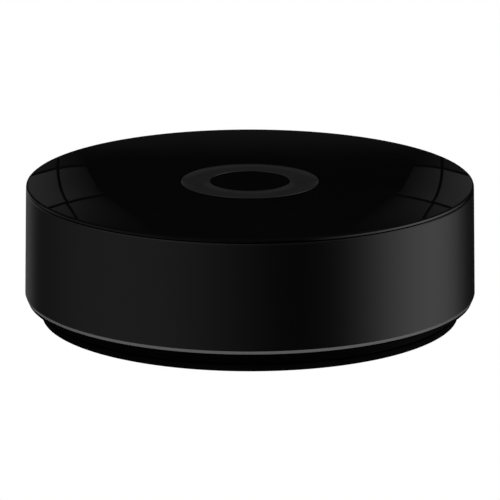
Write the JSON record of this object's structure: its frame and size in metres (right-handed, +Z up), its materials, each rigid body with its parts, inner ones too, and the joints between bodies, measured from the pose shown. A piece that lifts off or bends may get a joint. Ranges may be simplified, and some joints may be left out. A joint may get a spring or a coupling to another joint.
{
  "type": "smart home hub",
  "caption": "Round tabletop smart home hub with a glossy infrared-clear top cover, a satin side wall, a recessed base and a rear socket bay with a pairing button.",
  "frame": {"origin": "centre of the foot's underside, on the surface that the hub stands on", "axes": "+Z up through the centre of the top cover, -Y the front, +Y the rear with the socket bay"},
  "size_m": [0.108, 0.108, 0.033],
  "materials": {
    "gloss_cover": "high gloss, nearly black, lets infrared through",
    "status_window": "smoked translucent, dark grey",
    "satin_shell": "fine satin black",
    "base_plastic": "fine-grained matte black",
    "port_plastic": "fine spark-eroded matte black",
    "button_plastic": "satin dark grey",
    "foot_rubber": "matte black elastomer",
    "gasket_foam": "soft black foam tape",
    "label_stock": "blank silver-grey film",
    "frame_plastic": "natural moulded white",
    "circuit_board": "green solder mask",
    "chip_plastic": "black moulding compound",
    "connector_plastic": "cream nylon",
    "led_lens": "white diffusing lens",
    "ir_lens": "deep violet lens",
    "flex_film": "amber polyimide film",
    "lead_jacket": "black lead jacket",
    "steel": "tinned steel sheet",
    "aluminium": "plain aluminium",
    "zinc_screw": "zinc-plated steel"
  },
  "bodies": {
    "housing": {"top_cover": "gloss_cover", "status_ring": "status_window", "cover_gasket": "gasket_foam", "side_shell": "satin_shell", "port_panel": "port_plastic", "bottom_cover": "base_plastic", "rubber_foot": "foot_rubber", "rating_label": "label_stock", "inner_frame": "frame_plastic", "main_board": "circuit_board", "status_board": "circuit_board", "status_led_1": "led_lens", "status_led_2": "led_lens", "status_led_3": "led_lens", "status_led_4": "led_lens", "ir_led_1": "ir_lens", "ir_led_2": "ir_lens", "ir_led_3": "ir_lens", "ir_led_4": "ir_lens", "ir_led_5": "ir_lens", "ir_led_6": "ir_lens", "ir_receiver": "chip_plastic", "light_baffle": "chip_plastic", "rj45_jack": "steel", "usb_socket": "steel", "usb_tongue": "chip_plastic", "pairing_switch": "chip_plastic", "reset_switch": "chip_plastic", "wifi_shield": "steel", "zigbee_shield": "steel", "processor": "chip_plastic", "heat_spreader": "aluminium", "memory_chip": "chip_plastic", "ethernet_transformer": "chip_plastic", "power_inductor": "chip_plastic", "board_connector": "connector_plastic", "status_connector": "connector_plastic", "ribbon_cable": "flex_film", "wifi_antenna": "circuit_board", "zigbee_antenna": "circuit_board", "wifi_antenna_lead": "lead_jacket", "zigbee_antenna_lead": "lead_jacket", "ballast_plate": "steel", "buzzer": "chip_plastic", "capacitor_1": "aluminium", "capacitor_2": "aluminium", "capacitor_3": "aluminium", "base_screw_1": "zinc_screw", "board_screw_1": "zinc_screw", "base_screw_2": "zinc_screw", "board_screw_2": "zinc_screw", "base_screw_3": "zinc_screw", "board_screw_3": "zinc_screw", "base_screw_4": "zinc_screw", "board_screw_4": "zinc_screw"},
    "pairing_key": {"pairing_button": "button_plastic"},
    "pairing_stem": {"pairing_plunger": "connector_plastic"},
    "reset_stem": {"reset_plunger": "connector_plastic"}
  },
  "joints": [
    {"name": "pairing_press", "type": "slide", "parent": "housing", "child": "pairing_key", "axis": [0, -1, 0], "range_m": [0, 0.0004], "stiffness_N_per_m": 1500},
    {"name": "pairing_stem_press", "type": "slide", "parent": "housing", "child": "pairing_stem", "axis": [0, -1, 0], "range_m": [0, 0.0004]},
    {"name": "reset_press", "type": "slide", "parent": "housing", "child": "reset_stem", "axis": [0, 0, 1], "range_m": [0, 0.00025], "stiffness_N_per_m": 1500}
  ],
  "couplings": [
    {"joint": "pairing_stem_press", "follows": "pairing_press", "ratio": 1}
  ]
}
